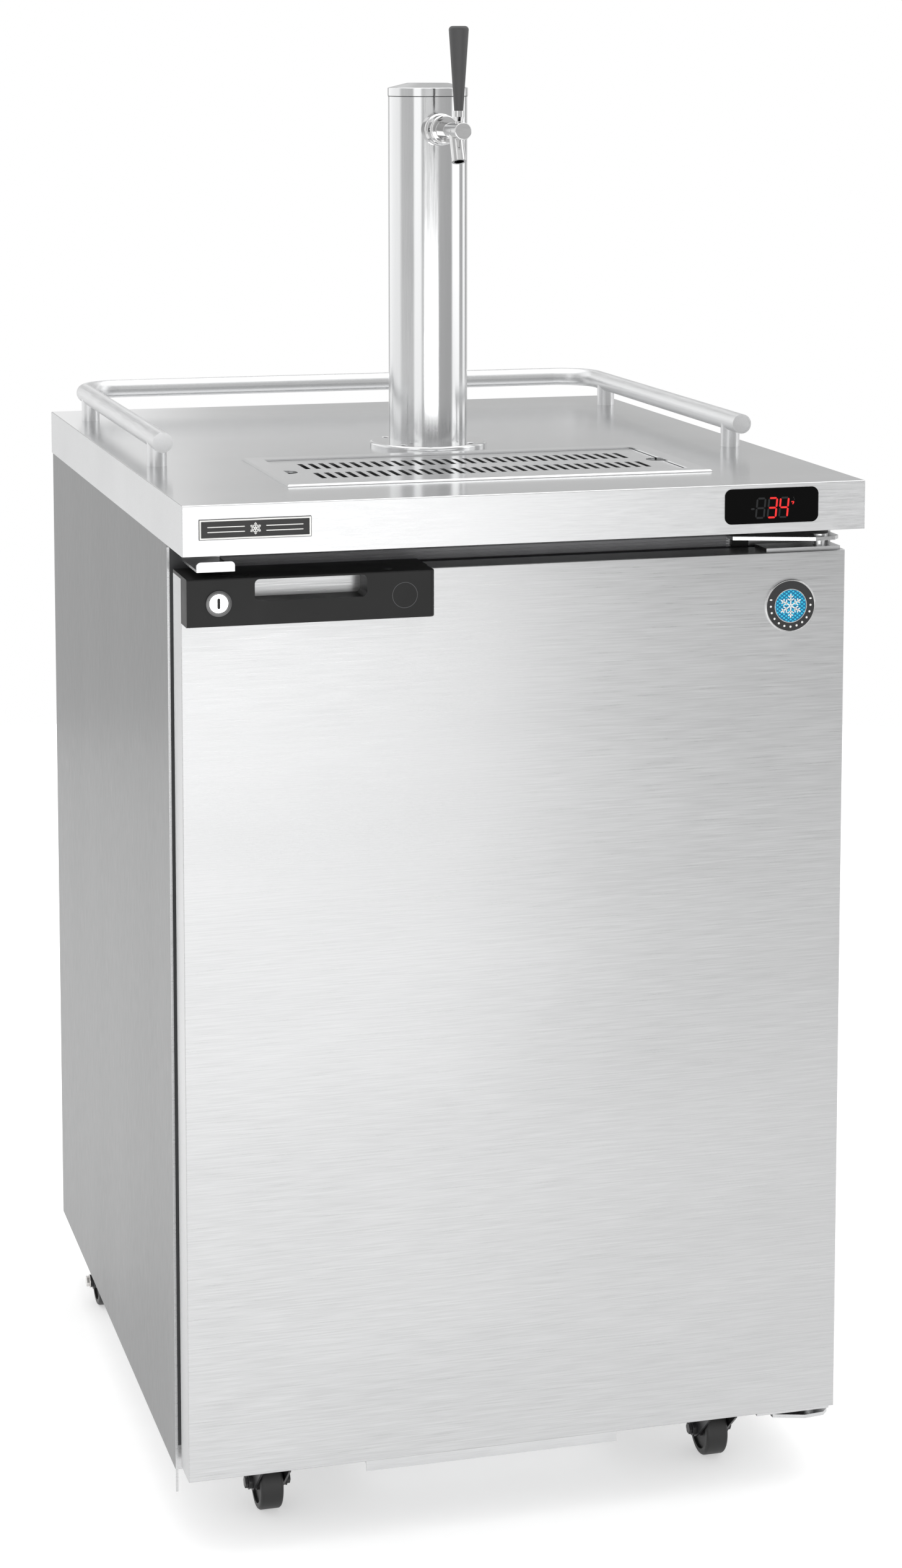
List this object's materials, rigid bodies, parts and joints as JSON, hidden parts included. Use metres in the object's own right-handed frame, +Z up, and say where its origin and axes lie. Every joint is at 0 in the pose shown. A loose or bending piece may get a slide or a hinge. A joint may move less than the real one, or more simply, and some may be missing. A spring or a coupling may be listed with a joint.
{
  "type": "kegerator",
  "caption": "Insulated beer keg cooler on swivel casters with a hinged lockable door, drip tray, glass rail and a tap tower.",
  "frame": {"origin": "on the floor under the middle of the overall box", "axes": "+Z up, +X to the right of someone facing the door, the door faces -Y"},
  "size_m": [0.61, 0.736, 1.332],
  "materials": {
    "counter_steel": "brushed, grain left to right",
    "panel_steel": "brushed, upright grain",
    "door_steel": "brushed, grain left to right",
    "base_steel": "satin",
    "foam": "rigid foam",
    "strip_plastic": "fine grained",
    "liner_aluminium": "stucco embossed",
    "floor_steel": "satin",
    "black_plastic": "fine texture",
    "gasket_rubber": "satin",
    "coil_metal": "mill finish",
    "compressor_paint": "semi gloss",
    "display_glass": "gloss",
    "plate_black": "gloss with a bright rim",
    "badge_enamel": "enamel with a bright rim",
    "rail_metal": "satin",
    "tower_metal": "fine brushed",
    "screw_steel": "bright",
    "tap_chrome": "polished",
    "handle_black": "satin gloss",
    "hose_vinyl": "vinyl",
    "tray_steel": "brushed",
    "pan_steel": "satin",
    "caster_zinc": "bright zinc",
    "caster_rubber": "moulded"
  },
  "bodies": {
    "cabinet": {"back_panel": "panel_steel", "base_frame": "base_steel", "beer_line": "hose_vinyl", "breaker_strips": "strip_plastic", "caster_plates": "caster_zinc", "compressor": "compressor_paint", "condenser_coil": "coil_metal", "control_housing": "black_plastic", "counter_core": "foam", "counter_top": "counter_steel", "coupling_nut": "tap_chrome", "display_window": "display_glass", "drip_tray": "tray_steel", "evaporator_coil": "coil_metal", "evaporator_cover": "strip_plastic", "fan_motors": "compressor_paint", "faucet_body": "tap_chrome", "faucet_escutcheon": "tap_chrome", "faucet_shank": "tap_chrome", "hinge_brackets": "base_steel", "keg_floor": "floor_steel", "line_fitting": "tap_chrome", "liner_panels": "liner_aluminium", "name_plate": "plate_black", "pan_runners": "base_steel", "power_inlet": "black_plastic", "rail_end_caps": "rail_metal", "rail_posts": "rail_metal", "rail_tube": "rail_metal", "rear_grille": "panel_steel", "side_panels": "panel_steel", "strike_bracket": "base_steel", "tower_cap": "tower_metal", "tower_column": "tower_metal", "tower_flange": "tower_metal", "tower_screws": "screw_steel", "wall_insulation": "foam"},
    "door": {"door_skin": "door_steel", "door_core": "foam", "door_liner": "strip_plastic", "door_gasket": "gasket_rubber", "door_hinge_plates": "base_steel", "door_badge": "badge_enamel", "door_handle": "black_plastic", "lock_housing": "screw_steel"},
    "lock": {"lock_plug": "screw_steel"},
    "tap": {"tap_lever": "tap_chrome", "tap_handle": "handle_black"},
    "grate": {"drip_grate": "tray_steel"},
    "pan": {"condensate_pan": "pan_steel"},
    "condenser_fan": {"condenser_fan": "black_plastic"},
    "evaporator_fan": {"evaporator_fan": "black_plastic"},
    "swivel_front_left": {"caster_fork_front_left": "caster_zinc"},
    "wheel_front_left": {"caster_wheel_front_left": "caster_rubber"},
    "swivel_front_right": {"caster_fork_front_right": "caster_zinc"},
    "wheel_front_right": {"caster_wheel_front_right": "caster_rubber"},
    "swivel_rear_left": {"caster_fork_rear_left": "caster_zinc"},
    "wheel_rear_left": {"caster_wheel_rear_left": "caster_rubber"},
    "swivel_rear_right": {"caster_fork_rear_right": "caster_zinc"},
    "wheel_rear_right": {"caster_wheel_rear_right": "caster_rubber"}
  },
  "joints": [
    {"name": "door_hinge", "type": "hinge", "parent": "cabinet", "child": "door", "pos_m": [0.281, -0.319, 0.47], "axis": [0, 0, 1], "range_deg": [0, 110]},
    {"name": "lock_turn", "type": "hinge", "parent": "door", "child": "lock", "pos_m": [-0.273, -0.36, 0.8495], "axis": [0, -1, 0], "range_deg": [0, 90]},
    {"name": "tap_pull", "type": "hinge", "parent": "cabinet", "child": "tap", "pos_m": [0, -0.129, 1.2365], "axis": [1, 0, 0], "range_deg": [0, 30]},
    {"name": "grate_lift", "type": "slide", "parent": "cabinet", "child": "grate", "axis": [0, 0, 1], "range_m": [0, 0.06]},
    {"name": "pan_slide", "type": "slide", "parent": "cabinet", "child": "pan", "axis": [0, -1, 0], "range_m": [0, 0.2]},
    {"name": "condenser_fan_spin", "type": "hinge", "parent": "cabinet", "child": "condenser_fan", "pos_m": [0.12, 0.2528, 0.1783], "axis": [0, 1, 0], "continuous": true},
    {"name": "evaporator_fan_spin", "type": "hinge", "parent": "cabinet", "child": "evaporator_fan", "pos_m": [0, 0.2118, 0.8258], "axis": [0, 1, 0], "continuous": true},
    {"name": "swivel_front_left", "type": "hinge", "parent": "cabinet", "child": "swivel_front_left", "pos_m": [-0.212, -0.267, 0.055], "axis": [0, 0, 1], "continuous": true},
    {"name": "roll_front_left", "type": "hinge", "parent": "swivel_front_left", "child": "wheel_front_left", "pos_m": [-0.212, -0.244, 0.0254], "axis": [1, 0, 0], "continuous": true},
    {"name": "swivel_front_right", "type": "hinge", "parent": "cabinet", "child": "swivel_front_right", "pos_m": [0.212, -0.267, 0.055], "axis": [0, 0, 1], "continuous": true},
    {"name": "roll_front_right", "type": "hinge", "parent": "swivel_front_right", "child": "wheel_front_right", "pos_m": [0.212, -0.244, 0.0254], "axis": [1, 0, 0], "continuous": true},
    {"name": "swivel_rear_left", "type": "hinge", "parent": "cabinet", "child": "swivel_rear_left", "pos_m": [-0.275, 0.242, 0.055], "axis": [0, 0, 1], "continuous": true},
    {"name": "roll_rear_left", "type": "hinge", "parent": "swivel_rear_left", "child": "wheel_rear_left", "pos_m": [-0.275, 0.265, 0.0254], "axis": [1, 0, 0], "continuous": true},
    {"name": "swivel_rear_right", "type": "hinge", "parent": "cabinet", "child": "swivel_rear_right", "pos_m": [0.275, 0.242, 0.055], "axis": [0, 0, 1], "continuous": true},
    {"name": "roll_rear_right", "type": "hinge", "parent": "swivel_rear_right", "child": "wheel_rear_right", "pos_m": [0.275, 0.265, 0.0254], "axis": [1, 0, 0], "continuous": true}
  ]
}
